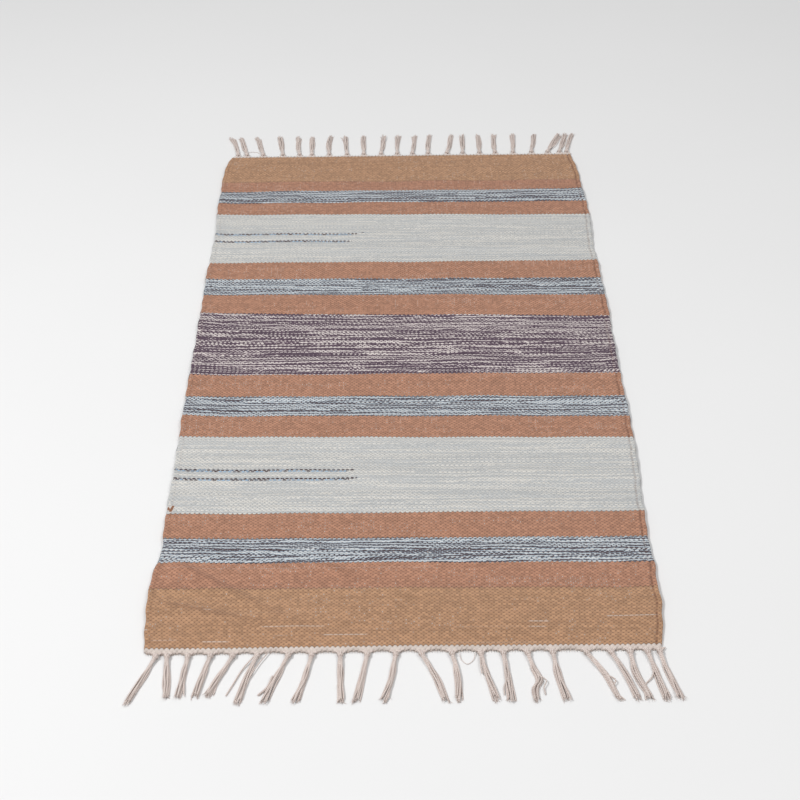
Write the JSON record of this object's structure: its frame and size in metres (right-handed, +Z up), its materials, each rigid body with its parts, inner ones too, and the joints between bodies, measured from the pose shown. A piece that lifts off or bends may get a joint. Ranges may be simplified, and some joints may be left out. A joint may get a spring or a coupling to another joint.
{
  "type": "woven runner rug",
  "caption": "Flat-woven striped cotton runner rug with a knotted warp fringe at both ends, lying flat; each end folds up over the middle.",
  "frame": {"origin": "centre of the underside of the flat rug, on the floor", "axes": "+Z up from the floor through the cloth, +Y along the rug towards its far fringe, +X across the rug to the right"},
  "size_m": [0.6344, 1.3696, 0.009],
  "materials": {
    "tan_weft": "matte ochre-tan cotton weft",
    "rust_weft": "matte terracotta cotton weft",
    "grey_weft": "ecru and pale blue-grey twisted cotton weft",
    "blue_weft": "pale blue, white and dark twisted cotton weft",
    "purple_weft": "plum and ecru twisted cotton weft",
    "dark_inlay_yarn": "dark blue and black twisted cotton",
    "heading_yarn": "natural off-white cotton",
    "fringe_yarn": "natural off-white twisted cotton",
    "warp_yarn": "natural off-white twisted cotton"
  },
  "bodies": {
    "middle": {"near_grey_band": "grey_weft", "near_rust_band_3": "rust_weft", "near_blue_band_2": "blue_weft", "near_rust_band_4": "rust_weft", "purple_band": "purple_weft", "far_rust_band_4": "rust_weft", "far_blue_band_2": "blue_weft", "far_rust_band_3": "rust_weft", "far_grey_band": "grey_weft", "near_inlay_picks": "dark_inlay_yarn", "far_inlay_picks": "dark_inlay_yarn", "middle_warp": "warp_yarn", "middle_selvedge_cords": "warp_yarn"},
    "near_end": {"near_tan_band": "tan_weft", "near_rust_band_1": "rust_weft", "near_blue_band_1": "blue_weft", "near_rust_band_2": "rust_weft", "near_end_warp": "warp_yarn", "near_end_selvedge_cords": "warp_yarn", "near_heading": "heading_yarn", "near_tassels_01_02": "fringe_yarn", "near_tassels_03_04": "fringe_yarn", "near_tassels_05_06": "fringe_yarn", "near_tassels_07_08": "fringe_yarn", "near_tassels_09_10": "fringe_yarn", "near_tassels_11_12": "fringe_yarn", "near_tassels_13_14": "fringe_yarn", "near_tassels_15_16": "fringe_yarn", "near_tassels_17_18": "fringe_yarn", "near_tassels_19_20": "fringe_yarn", "near_tassels_21_22": "fringe_yarn"},
    "far_end": {"far_rust_band_2": "rust_weft", "far_blue_band_1": "blue_weft", "far_rust_band_1": "rust_weft", "far_tan_band": "tan_weft", "far_end_warp": "warp_yarn", "far_end_selvedge_cords": "warp_yarn", "far_heading": "heading_yarn", "far_tassels_01_02": "fringe_yarn", "far_tassels_03_04": "fringe_yarn", "far_tassels_05_06": "fringe_yarn", "far_tassels_07_08": "fringe_yarn", "far_tassels_09_10": "fringe_yarn", "far_tassels_11_12": "fringe_yarn", "far_tassels_13_14": "fringe_yarn", "far_tassels_15_16": "fringe_yarn", "far_tassels_17_18": "fringe_yarn", "far_tassels_19_20": "fringe_yarn", "far_tassels_21_22": "fringe_yarn"}
  },
  "joints": [
    {"name": "near_end_fold", "type": "hinge", "parent": "middle", "child": "near_end", "pos_m": [0, -0.366, 0.007], "axis": [-1, 0, 0], "range_deg": [0, 178]},
    {"name": "far_end_fold", "type": "hinge", "parent": "middle", "child": "far_end", "pos_m": [0, 0.391, 0.007], "axis": [1, 0, 0], "range_deg": [0, 178]}
  ]
}
